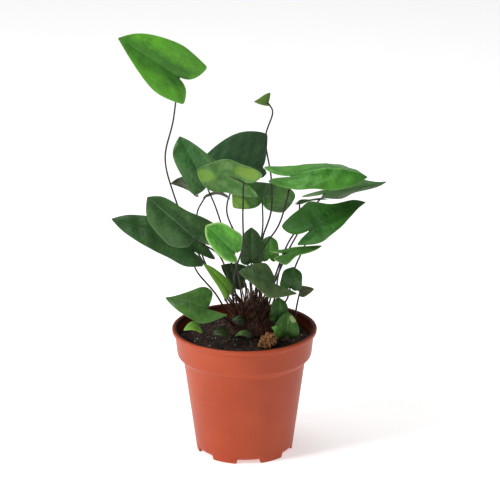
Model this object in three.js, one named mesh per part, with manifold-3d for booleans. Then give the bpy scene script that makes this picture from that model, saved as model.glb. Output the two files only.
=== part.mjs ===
// Potted heart fern: glossy heart- and arrow-shaped fronds on thin wiry stalks that rise from one
// fibrous crown, planted in soil in a round nursery pot of thin plastic.
// Millimetres, +Z up. The origin is the centre of the pot's base, on the surface it stands on.
// +X is to the right and +Y to the back when the plant is seen from its front.
import * as THREE from 'three';
import { mergeVertices } from 'three/addons/utils/BufferGeometryUtils.js';
import Module from 'manifold-3d';

const wasm = await Module();
wasm.setup();

// ---- Driving dimensions --------------------------------------------------------------------

const GAP = 0.3;                  // air left between pieces that touch

const POT_HEIGHT = 93;
const RIM_RADIUS = 52.5;          // over the rolled lip
const LIP_DEPTH = 3;
const COLLAR_TOP_RADIUS = 50.3;
const COLLAR_BOTTOM_RADIUS = 48.6;
const COLLAR_BOTTOM = 73;         // height where the collar ends
const WALL_TOP_RADIUS = 44.2;
const WALL_TOP = 69;
const BASE_RADIUS = 35;
const POT_WALL = 1.3;
const POT_SIDES = 60;

const FOOT_RADIUS = 25;           // the flat disc in the middle that the pot stands on
const FLOOR_RISE = 3.6;           // the floor is raised between that disc and the wall
const NOTCH_COUNT = 6;            // openings at the bottom edge that let water out
const NOTCH_SPREAD = 28;          // degrees
const NOTCH_HEIGHT = 3.4;
const NOTCH_START = 5;            // degrees from the front, towards +X
const DRAIN_HOLE_RADIUS = 2.2;
const DRAIN_CIRCLE = 29.5;

const SOIL_LEVEL = 84;
const SOIL_SIDES = 40;

const CROWN_CENTRE = [6, 3];
const CROWN_HALF_WIDTH = 17;
const CROWN_HALF_DEPTH = 13;
const CROWN_HEIGHT = 22;

const BLADE_THICKNESS = 0.5;
const TIP_HALF_WIDTH = 0.5;
const TENT_FULL = 0.4;            // share of the midrib by which a tented blade is fully folded
const RIPPLE_TURN = 11;           // radians that the margin's ripple turns from lobe to tip
const STALK_RADIUS = 0.55;
const STALK_SIDES = 6;

// ---- Materials -----------------------------------------------------------------------------

function finish(name, color, roughness) {
  return new THREE.MeshStandardMaterial({ name, color, roughness, metalness: 0 });
}

const terracottaPlastic = finish('pot_plastic', 0xbb5937, 0.45);
const pottingSoil = finish('soil', 0x2b1d16, 0.95);
const crownFibre = finish('crown_fibre', 0x5a3320, 0.9);
const stalkBlack = finish('stalk', 0x1c1310, 0.5);
const leafColours = {
  leaf_young: finish('leaf_young', 0x3f9a35, 0.45),
  leaf_mature: finish('leaf_mature', 0x2a6434, 0.45),
  leaf_dark: finish('leaf_dark', 0x1f4a2c, 0.5),
  leaf_dry: finish('leaf_dry', 0x6f6248, 0.8),
};

// ---- Shared geometry -----------------------------------------------------------------------

const radians = THREE.MathUtils.degToRad;
const plant = new THREE.Group();

function addPiece(name, geometry, material) {
  const mesh = new THREE.Mesh(geometry, material);
  mesh.name = name;
  plant.add(mesh);
}

function toSolid(geometry) {
  const bare = geometry.clone();
  bare.deleteAttribute('normal');
  bare.deleteAttribute('uv');
  const merged = mergeVertices(bare, 1e-4);
  return new wasm.Manifold(new wasm.Mesh({
    numProp: 3,
    vertProperties: new Float32Array(merged.attributes.position.array),
    triVerts: new Uint32Array(merged.index.array),
  }));
}

function toGeometry(solid) {
  const mesh = solid.getMesh();
  const geometry = new THREE.BufferGeometry();
  geometry.setAttribute('position', new THREE.BufferAttribute(mesh.vertProperties, 3));
  geometry.setIndex(new THREE.BufferAttribute(mesh.triVerts, 1));
  geometry.computeVertexNormals();
  return geometry;
}

// A profile of [radius, height] points turned about the Z axis.
function turned(profile, sides) {
  const points = profile.map(([radius, height]) => new THREE.Vector2(radius, height));
  return new THREE.LatheGeometry(points, sides).rotateX(Math.PI / 2);
}

// A closed skin round two grids of points of the same size, one above the other.
function closedSheet(top, bottom) {
  const rows = top.length;
  const columns = top[0].length;
  const positions = [];
  for (const grid of [top, bottom]) {
    for (const point of grid.flat()) positions.push(point.x, point.y, point.z);
  }
  const above = (i, k) => i * columns + k;
  const below = (i, k) => rows * columns + above(i, k);
  const faces = [];
  const quad = (a, b, c, d) => faces.push(a, b, c, a, c, d);
  for (let i = 0; i < rows - 1; i += 1) {
    for (let k = 0; k < columns - 1; k += 1) {
      quad(above(i, k), above(i + 1, k), above(i + 1, k + 1), above(i, k + 1));
      quad(below(i, k), below(i, k + 1), below(i + 1, k + 1), below(i + 1, k));
    }
    quad(above(i, 0), below(i, 0), below(i + 1, 0), above(i + 1, 0));
    quad(above(i, columns - 1), above(i + 1, columns - 1), below(i + 1, columns - 1), below(i, columns - 1));
  }
  for (let k = 0; k < columns - 1; k += 1) {
    quad(above(0, k), above(0, k + 1), below(0, k + 1), below(0, k));
    quad(above(rows - 1, k), below(rows - 1, k), below(rows - 1, k + 1), above(rows - 1, k + 1));
  }
  const geometry = new THREE.BufferGeometry();
  geometry.setAttribute('position', new THREE.Float32BufferAttribute(positions, 3));
  geometry.setIndex(faces);
  geometry.computeVertexNormals();
  return geometry;
}

// ---- Pot -----------------------------------------------------------------------------------

// Radius of the tapered wall's outside at a height below the collar.
function wallRadius(height) {
  return BASE_RADIUS + (WALL_TOP_RADIUS - BASE_RADIUS) * (height / WALL_TOP);
}

function buildPot() {
  const lipBottom = POT_HEIGHT - LIP_DEPTH;
  const floorTop = FLOOR_RISE + POT_WALL;
  const profile = [
    [0, 0],
    [FOOT_RADIUS, 0],
    [FOOT_RADIUS + 0.8, FLOOR_RISE],
    [BASE_RADIUS - POT_WALL - 0.5, FLOOR_RISE],
    [BASE_RADIUS - POT_WALL - 0.5, 0],
    [BASE_RADIUS, 0],
    [WALL_TOP_RADIUS, WALL_TOP],
    [COLLAR_BOTTOM_RADIUS, COLLAR_BOTTOM],
    [COLLAR_TOP_RADIUS, lipBottom - 1],
    [RIM_RADIUS, lipBottom],
    [RIM_RADIUS, POT_HEIGHT - 0.6],
    [RIM_RADIUS - 0.6, POT_HEIGHT],
    [COLLAR_TOP_RADIUS - POT_WALL + 0.5, POT_HEIGHT],
    [COLLAR_TOP_RADIUS - POT_WALL, lipBottom - 1],
    [COLLAR_BOTTOM_RADIUS - POT_WALL, COLLAR_BOTTOM + 0.5],
    [WALL_TOP_RADIUS - POT_WALL, WALL_TOP + 0.5],
    [wallRadius(floorTop) - POT_WALL, floorTop],
    [FOOT_RADIUS - 0.4, floorTop],
    [FOOT_RADIUS - 1.2, POT_WALL],
    [0, POT_WALL],
  ];
  let pot = toSolid(turned(profile, POT_SIDES));

  for (let n = 0; n < NOTCH_COUNT; n += 1) {
    const middle = NOTCH_START + (360 / NOTCH_COUNT) * n;
    const from = radians(middle - NOTCH_SPREAD / 2 - 90);
    const to = radians(middle + NOTCH_SPREAD / 2 - 90);
    const inner = FOOT_RADIUS + 4;
    const outer = BASE_RADIUS + 3;
    const sector = new THREE.Shape();
    sector.absarc(0, 0, outer, from, to, false);
    sector.absarc(0, 0, inner, to, from, true);
    const shape = { depth: NOTCH_HEIGHT + 1, curveSegments: 4, bevelEnabled: false };
    const block = new THREE.ExtrudeGeometry(sector, shape).translate(0, 0, -1);
    pot = pot.subtract(toSolid(block));

    const holeAngle = radians(middle + 180 / NOTCH_COUNT - 90);
    const holeX = DRAIN_CIRCLE * Math.cos(holeAngle);
    const holeY = DRAIN_CIRCLE * Math.sin(holeAngle);
    const drill = new THREE.CylinderGeometry(DRAIN_HOLE_RADIUS, DRAIN_HOLE_RADIUS, 3 * FLOOR_RISE, 12);
    drill.rotateX(Math.PI / 2).translate(holeX, holeY, FLOOR_RISE);
    pot = pot.subtract(toSolid(drill));
  }
  addPiece('nursery_pot', toGeometry(pot), terracottaPlastic);
}

// ---- Soil and crown ------------------------------------------------------------------------

// Height of the uneven soil surface: a low mound that sinks towards the pot's wall.
function soilHeight(x, y) {
  const mound = 3.2 * Math.exp(-(x * x + y * y) / 900);
  const lumps = 0.8 * Math.sin(x / 5.3 + 1.2) * Math.cos(y / 4.7) + 0.5 * Math.sin(x / 9 - y / 7);
  return SOIL_LEVEL + mound + lumps;
}

function buildSoil() {
  const floorTop = FLOOR_RISE + POT_WALL + GAP;
  const inside = (radius) => radius - POT_WALL - GAP;
  const collarRadius = inside(COLLAR_BOTTOM_RADIUS) + 0.4;
  const profile = [
    [0, floorTop],
    [inside(wallRadius(floorTop)), floorTop],
    [inside(WALL_TOP_RADIUS), WALL_TOP + 0.5],
    [inside(COLLAR_BOTTOM_RADIUS), COLLAR_BOTTOM + 0.7],
    [collarRadius, SOIL_LEVEL - 1],
    [collarRadius - 1.5, SOIL_LEVEL],
    [38, SOIL_LEVEL],
    [29, SOIL_LEVEL],
    [19, SOIL_LEVEL],
    [9, SOIL_LEVEL],
    [0, SOIL_LEVEL],
  ];
  const geometry = turned(profile, SOIL_SIDES);
  const position = geometry.attributes.position;
  for (let n = 0; n < position.count; n += 1) {
    const raised = position.getZ(n) - SOIL_LEVEL;
    if (raised > -0.01) position.setZ(n, soilHeight(position.getX(n), position.getY(n)));
  }
  addPiece('soil', geometry, pottingSoil);
}

// Height of the crown's top above the soil, zero outside its oval footprint.
function crownRise(x, y) {
  const u = (x - CROWN_CENTRE[0]) / CROWN_HALF_WIDTH;
  const v = (y - CROWN_CENTRE[1]) / CROWN_HALF_DEPTH;
  const inside = 1 - u * u - v * v;
  if (inside <= 0) return 0;
  const lumps = 1 + 0.18 * Math.sin(x * 0.7) * Math.cos(y * 0.6);
  return CROWN_HEIGHT * lumps * inside ** 0.8;
}

function buildCrown() {
  const rings = 6;
  const sides = 24;
  const top = [];
  const bottom = [];
  for (let side = 0; side <= sides; side += 1) {
    const angle = (2 * Math.PI * side) / sides;
    const upper = [];
    const lower = [];
    for (let ring = 0; ring <= rings; ring += 1) {
      const reach = ring / rings;
      const x = CROWN_CENTRE[0] + CROWN_HALF_WIDTH * reach * Math.cos(angle);
      const y = CROWN_CENTRE[1] + CROWN_HALF_DEPTH * reach * Math.sin(angle);
      const base = soilHeight(x, y) + 3 * GAP;
      upper.push(new THREE.Vector3(x, y, base + 0.6 + crownRise(x, y)));
      lower.push(new THREE.Vector3(x, y, base));
    }
    top.push(upper);
    bottom.push(lower);
  }
  addPiece('crown', domedSolid(top, bottom), crownFibre);
}

// A closed skin round two polar grids: rows are the sides, columns run from the centre out.
function domedSolid(top, bottom) {
  const faces = [];
  const triangle = (a, b, c) => faces.push(a.x, a.y, a.z, b.x, b.y, b.z, c.x, c.y, c.z);
  const last = top[0].length - 1;
  for (let side = 0; side < top.length - 1; side += 1) {
    const next = (side + 1) % (top.length - 1);
    for (let ring = 0; ring < last; ring += 1) {
      triangle(top[side][ring], top[side][ring + 1], top[next][ring + 1]);
      triangle(bottom[side][ring], bottom[next][ring + 1], bottom[side][ring + 1]);
      if (ring > 0) {
        triangle(top[side][ring], top[next][ring + 1], top[next][ring]);
        triangle(bottom[side][ring], bottom[next][ring], bottom[next][ring + 1]);
      }
    }
    triangle(top[side][last], bottom[side][last], bottom[next][last]);
    triangle(top[side][last], bottom[next][last], top[next][last]);
  }
  const geometry = new THREE.BufferGeometry();
  geometry.setAttribute('position', new THREE.Float32BufferAttribute(faces, 3));
  geometry.computeVertexNormals();
  return geometry;
}

// Height of the soil or of the crown on it, whichever is on top.
function groundHeight(x, y) {
  const rise = crownRise(x, y);
  return rise > 0 ? soilHeight(x, y) + 3 * GAP + 0.6 + rise : soilHeight(x, y);
}

// ---- Fronds --------------------------------------------------------------------------------

// Each frond is a blade and, where it has one of its own in view, a stalk.
//   at      where the stalk meets the blade, at the bottom of the notch between the lobes
//   tip     the blade's point
//   face    the direction that the upper side looks in
//   width   half width to the left and to the right of the midrib, seen from above
//   lobes   how far the two lobes reach back past the stalk
//   ears    how far out the lobes end, as a share of the half width
//   neck    width at the stalk, as a share of the half width
//   waist   width halfway to the tip, as a share of the half width
//   blunt   width left near the tip, as a share of the half width
//   notch   half the gap between the lobes
//   fold    degrees that each half is folded up along the midrib
//   tent    degrees more that it is folded up ahead of the stalk
//   arch    how far the midrib bows up between its ends
//   lobeSlope  how steeply the lobes go on down from the arch, as a share of its own slope
//   sag     how far the lobes hang below that line
//   droop   how far the margin curls down
//   wave    height of the margin's ripples
//   rows    faces along the midrib
// Pairs are for the left half and the right half.
const plainBlade = {
  width: [16, 16], lobes: [12, 12], ears: [0.5, 0.5], neck: [0.99, 0.99], waist: [0.83, 0.83],
  blunt: [0.46, 0.46], fold: [12, 12], tent: [0, 0], notch: 1, arch: 3, lobeSlope: 1, sag: 2,
  droop: 1.5, wave: 0.6, rows: 8,
};

const fronds = [
  { name: 'high_left', leaf: 'leaf_young', at: [-46, 0, 278], tip: [-87, -6, 307], face: [0.1, -0.9, 0.3],
    width: [18, 20], lobes: [15, 16], ears: [0.78, 0.88], waist: [0.76, 0.85], blunt: [0.34, 0.54],
    stalk: [[-5, 7], [-18, 14, 118], [-33, 20, 141], [-51, 16, 189], [-56, 5, 219], [-50, 3, 246]] },
  { name: 'bud', leaf: 'leaf_mature', at: [17, 12, 256], tip: [7, 10, 258], face: [-0.2, -1, 0.6],
    width: [2, 7], lobes: [1, 1], ears: [0.8, 1.15], neck: [0.9, 1.1], waist: [0.9, 0.6], blunt: [0.6, 0.25],
    fold: [10, 10], arch: 0.5, sag: 0, droop: 0, wave: 0,
    rows: 5, stalk: [[11, 6], [11, 7, 140], [13, 6, 158], [19, 1, 180], [19, 3, 204], [15, 10, 232], [20, 13, 250]] },
  { name: 'back_dark', leaf: 'leaf_dark', at: [13, 44, 200], tip: [-35, 38, 203], face: [0.1, -0.9, 0.4],
    width: [8, 26], lobes: [4, 4], ears: [0.5, 0.95], waist: [0.89, 0.85], blunt: [0.6, 0.42],
    stalk: [[6, 12], [1, 25, 138], [-13, 38, 170], [-4, 46, 190]] },
  { name: 'left_upright', leaf: 'leaf_mature', at: [-27, 6, 197], tip: [-46, 12, 232], face: [0.1, -0.9, 0.1],
    width: [12, 17], lobes: [3, 4], ears: [0.7, 0.8], fold: [5, 20], waist: [1, 0.72], blunt: [0.86, 0.38],
    stalk: [[-5, 1], [-10, 4, 143], [-20, 11, 178]] },
  { name: 'centre_underside', leaf: 'leaf_mature', at: [-1, -24, 209], tip: [-33, -26, 219], face: [0.1, 0.9, 0.4],
    width: [15, 15], lobes: [11, 14], ears: [1, 0.4], neck: [1.05, 0.9], waist: [0.95, 1.15], blunt: [0.4, 0.8],
    arch: 2, fold: [5, 5],
    stalk: [[-3, -6], [-8, -18, 120], [-6, -26, 145], [-1, -35, 166], [-1, -33, 186]] },
  { name: 'left_back', leaf: 'leaf_dark', at: [-35, 16, 192], tip: [-53, 20, 195], face: [0.2, 0.8, 0.5],
    width: [8, 8], lobes: [4, 4], rows: 6 },
  { name: 'left_inner', leaf: 'leaf_dark', at: [-27, 16, 188], tip: [-10, 20, 183], face: [0, 0.5, 1],
    width: [7, 7], lobes: [2, 2], fold: [4, 4], rows: 6,
    stalk: [[-7, 5], [-18, 8, 120], [-30, 12, 142], [-34, 15, 174]] },
  { name: 'centre_back', leaf: 'leaf_dark', at: [13, 16, 183], tip: [17, 46, 188], face: [0, -0.6, 1],
    width: [23, 23], lobes: [17, 16], ears: [0.85, 0.75], arch: 1, sag: 1,
    stalk: [[9, 1], [9, 10, 140], [13, 14, 162]] },
  { name: 'right_top', leaf: 'leaf_young', at: [34, -14, 210], tip: [87, -4, 207], face: [0, -0.3, 1],
    width: [15, 16], lobes: [20, 20], ears: [0.8, 0.5], waist: [1, 1], blunt: [0.8, 0.66], fold: [0, 0],
    tent: [-18, -35], arch: 7, lobeSlope: 0, sag: -1, droop: 0.5,
    stalk: [[13, -3], [12, -10, 151], [25, -20, 178]] },
  { name: 'right_thin', leaf: 'leaf_dark', at: [58, 18, 188], tip: [102, 22, 196], face: [0, -0.3, 1],
    width: [9, 12], lobes: [18, 3], ears: [0.5, 0.4], neck: [0.7, 0.5], waist: [1.05, 0.6], blunt: [0.18, 0.5],
    fold: [4, 4], arch: 1, sag: 0, wave: 1.5,
    stalk: [[15, 6], [31, 8, 153], [38, 12, 163], [50, 14, 180]] },
  { name: 'right_under', leaf: 'leaf_dark', at: [40, 26, 180], tip: [61, 30, 180], face: [0, 0.3, 1],
    width: [8, 8], lobes: [4, 4], fold: [0, 0], arch: 1, rows: 6,
    stalk: [[14, 8], [33, 14, 149], [39, 18, 160]] },
  { name: 'right_mid', leaf: 'leaf_young', at: [47, -8, 169], tip: [86, 0, 187], face: [-0.1, -0.7, 0.8],
    width: [19, 14], lobes: [18, 14], ears: [0.85, 0.25], waist: [0.42, 0.8], blunt: [0.3, 0.28],
    stalk: [[17, 2], [33, 3, 129], [38, 4, 141], [43, 0, 154]] },
  { name: 'right_curl', leaf: 'leaf_young', at: [28, -14, 153], tip: [55, -8, 157], face: [0, -0.7, 0.8],
    width: [4, 5.5], lobes: [9, 9], ears: [1.5, 0.7], neck: [1.9, 1.5], waist: [0.7, 0.8], blunt: [0.35, 0.55],
    fold: [20, 20], arch: 0, sag: 0, rows: 6,
    stalk: [[16, -1], [22, -7, 118], [24, -14, 136]] },
  { name: 'centre_round', leaf: 'leaf_young', at: [18, 2, 144], tip: [18, 6, 160], face: [0, -1, 0.3],
    width: [8, 7], lobes: [3, 3], waist: [0.95, 0.95], blunt: [0.75, 0.75], rows: 6 },
  { name: 'front_centre', leaf: 'leaf_mature', at: [21, -26, 135], tip: [-4, -30, 145], face: [0, -0.5, 1],
    width: [15, 15], lobes: [19, 1], ears: [0.15, 0.3], neck: [0.96, 0.5], waist: [0.8, 0.87], blunt: [0.43, 0.43],
    fold: [4, 4], arch: 2, lobeSlope: 0, sag: 0,
    stalk: [[12, -7], [18, -22, 120]] },
  { name: 'front_right', leaf: 'leaf_dark', at: [33, -8, 126], tip: [35, -4, 140], face: [0, -1, 0.3],
    width: [8, 8], lobes: [3, 3], waist: [0.95, 0.95], blunt: [0.75, 0.75], rows: 6,
    stalk: [[18, 1], [30, -3, 114]] },
  { name: 'withered', leaf: 'leaf_dry', at: [40, 4, 118], tip: [50, 2, 121], face: [0.3, -1, 0.3],
    width: [4, 4], lobes: [2, 2], fold: [0, 0], arch: 0, sag: 0, droop: 0, rows: 5,
    stalk: [[35, 8], [38, 9, 106]] },
  { name: 'left_big', leaf: 'leaf_dark', at: [-37, -4, 152], tip: [-94, -8, 177], face: [0, -0.6, 0.8],
    width: [13.5, 14], lobes: [12, 20], ears: [0.45, 0.3], waist: [0.95, 0.95], blunt: [0.62, 0.6], fold: [0, 6],
    stalk: [[-9, 1], [-20, -3, 118], [-35, -3, 138]] },
  { name: 'left_upper', leaf: 'leaf_dark', at: [-35, -18, 165], tip: [-68, -18, 196], face: [0, -0.9, 0.5],
    width: [15, 14], lobes: [1, 20], ears: [0.2, 1.6], neck: [0.5, 1.25], waist: [1, 0.72], blunt: [0.78, 0.58],
    fold: [6, 6], lobeSlope: 0.4,
    stalk: [[-6, 3], [-13, 2, 135], [-19, -5, 150], [-30, -13, 160]] },
  { name: 'left_young', leaf: 'leaf_young', at: [-10, -16, 123], tip: [-29, -12, 145], face: [0.6, -0.8, 0.3],
    width: [5, 5.5], lobes: [1, 1], rows: 6 },
  { name: 'front_bright', leaf: 'leaf_young', at: [-7, -28, 158], tip: [-27, -30, 179], face: [0.2, -1, 0.2],
    width: [9, 13], lobes: [7, 3], ears: [0.4, 0.4], neck: [0.9, 0.7], waist: [0.95, 0.9], blunt: [0.7, 0.72],
    fold: [12, 16], arch: 2, lobeSlope: 0,
    stalk: [[1, -7], [-3, -22, 130]] },
  { name: 'left_low', leaf: 'leaf_mature', at: [-26, -26, 116], tip: [-56, -22, 123], face: [0, -0.8, 0.8],
    width: [12.5, 14.5], lobes: [16, 1], ears: [0, 0.5], neck: [1, 0.95], waist: [0.86, 0.56], blunt: [0.48, 0.15],
    fold: [8, 8], lobeSlope: 0, sag: 0,
    stalk: [[-8, -2], [-16, -20, 108]] },
  { name: 'low_bright', leaf: 'leaf_young', at: [-31, -34, 105], tip: [-43, -38, 104], face: [0, -0.6, 1],
    width: [5, 5], lobes: [1, 1], rows: 5 },
  { name: 'soil_left', leaf: 'leaf_dark', at: [-12, -29, 99], tip: [-23, -31, 98], face: [0, -0.6, 1],
    width: [5, 5], lobes: [1, 1], rows: 5 },
  { name: 'soil_front', leaf: 'leaf_mature', at: [4, -34, 100], tip: [-7, -34, 98], face: [0, -0.6, 1],
    width: [3, 3], lobes: [1, 1], rows: 5 },
  { name: 'low_upright', leaf: 'leaf_dark', at: [25, -12, 102], tip: [25, -8, 118], face: [0, -1, 0.3],
    width: [7, 7], lobes: [2, 2], waist: [0.93, 0.93], blunt: [0.7, 0.7], rows: 6 },
  { name: 'low_heart', leaf: 'leaf_dark', at: [30, -24, 95], tip: [31, -16, 110], face: [0, -1, 0.4],
    width: [9, 9], lobes: [3, 3], ears: [0.5, 0.5], rows: 6 },
  { name: 'low_small', leaf: 'leaf_young', at: [25, -29, 100], tip: [19, -29, 103], face: [0, -0.8, 0.6],
    width: [3, 3], lobes: [1, 1], rows: 5 },
  { name: 'centre_dark', leaf: 'leaf_dark', at: [5, 0, 142], tip: [5, 4, 167], face: [0, -1, 0.2],
    width: [8, 8], lobes: [3, 3], waist: [0.95, 0.95], blunt: [0.75, 0.75], rows: 6,
    stalk: [[6, -2], [5, -1, 125]] },
  { name: 'inner_left', leaf: 'leaf_dark', at: [0, 14, 124], tip: [-17, 14, 135], face: [0, -1, 0.5],
    width: [9, 9], lobes: [4, 4], rows: 6,
    stalk: [[0, 9], [1, 18, 114]] },
  { name: 'inner_low', leaf: 'leaf_dark', at: [-1, -20, 104], tip: [-9, -22, 106], face: [0, -1, 0.8],
    width: [4, 4], lobes: [2, 2], rows: 5 },
];

// One half of the margin, from the end of a lobe round to the tip, in [along, across] pairs.
function marginCurve(blade, side, length) {
  const lobe = blade.lobes[side];
  const halfWidth = blade.width[side];
  const point = (along, share) => new THREE.Vector3(along, halfWidth * share, 0);
  return new THREE.CatmullRomCurve3([
    point(-lobe, blade.ears[side]),
    point(-lobe * 0.7, 0.35 * blade.neck[side] + 0.65 * blade.ears[side]),
    point(0, blade.neck[side]),
    point(length * 0.22, 1),
    point(length * 0.5, blade.waist[side]),
    point(length * 0.8, blade.blunt[side]),
    new THREE.Vector3(length, TIP_HALF_WIDTH, 0),
  ], false, 'centripetal');
}

// A flat blade point [along, across] at row share a and across share b of one half.
function flatPoint(margin, blade, side, length, a, b) {
  const edge = margin.getPoint(a);
  const rib = length * a;
  const notchEnd = margin.getPoint(0);
  const along = THREE.MathUtils.lerp(rib, edge.x, b);
  const across = THREE.MathUtils.lerp(0, edge.y, b);
  const curveAlong = 2 * b * (1 - b) * -0.8 * blade.lobes[side] + b * b * notchEnd.x;
  const curveAcross = 2 * b * (1 - b) * blade.notch + b * b * notchEnd.y;
  const pull = (1 - a) ** 4;
  return [
    along + pull * (curveAlong - b * notchEnd.x),
    across + pull * (curveAcross - b * notchEnd.y),
  ];
}

// Height of the midrib line over the straight line from stalk to tip, and of the lobes behind it.
function midribRise(blade, share, lobeShare) {
  if (share >= 0) return blade.arch * 4 * share * (1 - share);
  return blade.lobeSlope * blade.arch * 4 * share - blade.sag * lobeShare ** 2;
}

// A blade's own axes: where it starts, forward to its tip, up off its upper face, and left.
function bladeAxes(frond) {
  const start = new THREE.Vector3(...frond.at);
  const chord = new THREE.Vector3(...frond.tip).sub(start);
  const length = chord.length();
  const forward = chord.normalize();
  const face = new THREE.Vector3(...frond.face);
  const up = face.addScaledVector(forward, -forward.dot(face)).normalize();
  const left = new THREE.Vector3().crossVectors(up, forward);
  return { start, length, forward, up, left };
}

function buildBlade(frond) {
  const blade = { ...plainBlade, ...frond };
  const { start, length, forward, up, left } = bladeAxes(frond);
  const halfColumns = blade.rows > 6 ? 3 : 2;
  const margins = [0, 1].map((side) => marginCurve(blade, side, length));

  const middle = [];
  for (let i = 0; i <= blade.rows; i += 1) {
    const row = [];
    for (let k = -halfColumns; k <= halfColumns; k += 1) {
      const side = k > 0 ? 0 : 1;
      const b = Math.abs(k) / halfColumns;
      const [along, across] = flatPoint(margins[side], blade, side, length, i / blade.rows, b);
      const tent = blade.tent[side] * THREE.MathUtils.clamp(along / length / TENT_FULL, 0, 1);
      const fold = radians(blade.fold[side] + tent);
      const share = across / blade.width[side];
      const ripple = blade.wave * share ** 2 * Math.sin((i / blade.rows) * RIPPLE_TURN + side * 2);
      const rise = across * Math.sin(fold) - blade.droop * share ** 3 + ripple;
      const arch = midribRise(blade, along / length, along / blade.lobes[side]);
      row.push(start.clone()
        .addScaledVector(forward, along)
        .addScaledVector(left, Math.sign(k) * across * Math.cos(fold))
        .addScaledVector(up, arch + rise));
    }
    middle.push(row);
  }
  return thicken(middle);
}

// Gives a grid of points a thickness along its own surface normals.
function thicken(grid) {
  const rows = grid.length;
  const columns = grid[0].length;
  const normalAt = (i, k) => {
    const alongStep = grid[Math.min(i + 1, rows - 1)][k].clone().sub(grid[Math.max(i - 1, 0)][k]);
    const acrossStep = grid[i][Math.min(k + 1, columns - 1)].clone().sub(grid[i][Math.max(k - 1, 0)]);
    return alongStep.cross(acrossStep).normalize();
  };
  const offset = (distance) => grid.map((row, i) => row.map(
    (point, k) => point.clone().addScaledVector(normalAt(i, k), distance)));
  return closedSheet(offset(BLADE_THICKNESS / 2), offset(-BLADE_THICKNESS / 2));
}

function buildStalk(frond) {
  const { start, forward, up } = bladeAxes(frond);
  const clearance = BLADE_THICKNESS / 2 + GAP + STALK_RADIUS;
  const top = start.clone().addScaledVector(up, -clearance).addScaledVector(forward, -GAP);
  const [[rootX, rootY], ...via] = frond.stalk;
  const root = new THREE.Vector3(rootX, rootY, groundHeight(rootX, rootY) + 3 * GAP + STALK_RADIUS);
  const between = via.map((point) => new THREE.Vector3(...point));
  const path = new THREE.CatmullRomCurve3([root, ...between, top], false, 'centripetal');
  const section = new THREE.Shape();
  for (let n = 0; n < STALK_SIDES; n += 1) {
    const angle = (2 * Math.PI * n) / STALK_SIDES;
    const point = [STALK_RADIUS * Math.cos(angle), STALK_RADIUS * Math.sin(angle)];
    if (n === 0) section.moveTo(...point);
    else section.lineTo(...point);
  }
  section.closePath();
  const steps = 4 * (via.length + 1);
  return new THREE.ExtrudeGeometry(section, { steps, extrudePath: path, bevelEnabled: false });
}

// ---- Assembly ------------------------------------------------------------------------------

buildPot();
buildSoil();
buildCrown();
for (const frond of fronds) {
  addPiece(`blade_${frond.name}`, buildBlade(frond), leafColours[frond.leaf]);
  if (frond.stalk) addPiece(`stalk_${frond.name}`, buildStalk(frond), stalkBlack);
}

export default plant;
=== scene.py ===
import math
import random

import bmesh
import bpy
import numpy as np
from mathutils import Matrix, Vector
from mathutils.bvhtree import BVHTree


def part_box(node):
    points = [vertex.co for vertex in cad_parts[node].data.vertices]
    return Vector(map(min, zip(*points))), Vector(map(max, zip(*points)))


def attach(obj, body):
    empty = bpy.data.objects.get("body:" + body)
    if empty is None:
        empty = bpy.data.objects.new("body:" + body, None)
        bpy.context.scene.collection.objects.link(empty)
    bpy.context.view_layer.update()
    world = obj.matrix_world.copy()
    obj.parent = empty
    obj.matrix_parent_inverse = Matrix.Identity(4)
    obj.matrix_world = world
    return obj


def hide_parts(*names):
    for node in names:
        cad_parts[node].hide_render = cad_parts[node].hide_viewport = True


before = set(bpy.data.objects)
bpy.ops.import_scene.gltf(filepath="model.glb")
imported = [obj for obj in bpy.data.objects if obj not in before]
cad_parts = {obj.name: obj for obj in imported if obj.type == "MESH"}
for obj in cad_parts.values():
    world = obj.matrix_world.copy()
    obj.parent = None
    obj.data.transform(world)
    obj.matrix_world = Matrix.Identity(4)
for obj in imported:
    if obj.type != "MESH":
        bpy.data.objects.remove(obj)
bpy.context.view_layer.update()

MM = 0.001


# ---- Nursery pot -------------------------------------------------------------------------------
# One thin injection-moulded pot of terracotta-coloured polypropylene: a rolled lip, a deep collar,
# a tapered wall and a foot ring cut by six notches, with drain holes moulded through the floor.

class Value:
    """A shader socket that takes part in arithmetic: each operator adds one Math node."""

    def __init__(self, finish, socket):
        self.finish = finish
        self.socket = socket

    def joined(self, operation, *values):
        return self.finish.node("ShaderNodeMath", {"operation": operation}, dict(enumerate(values)))

    def __add__(self, other):
        return self.joined("ADD", self, other)

    def __sub__(self, other):
        return self.joined("SUBTRACT", self, other)

    def __mul__(self, other):
        return self.joined("MULTIPLY", self, other)

    def __pow__(self, other):
        return self.joined("POWER", self, other)

    def __radd__(self, other):
        return self.joined("ADD", other, self)

    def __rsub__(self, other):
        return self.joined("SUBTRACT", other, self)

    def __rmul__(self, other):
        return self.joined("MULTIPLY", other, self)

    def __abs__(self):
        return self.joined("ABSOLUTE", self)

    def between(self, low, high):
        """0 at low and 1 at high, eased."""
        settings = {"interpolation_type": "SMOOTHSTEP"}
        inputs = {"Value": self.socket, "From Min": low, "From Max": high}
        return self.finish.node("ShaderNodeMapRange", settings, inputs)


def rgb(red, green, blue):
    """A display colour, 0 to 255, as the linear colour that a shader takes."""
    linear = []
    for level in (red, green, blue):
        share = level / 255
        linear.append(share / 12.92 if share <= 0.04045 else ((share + 0.055) / 1.055) ** 2.4)
    return (*linear, 1.0)


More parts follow.
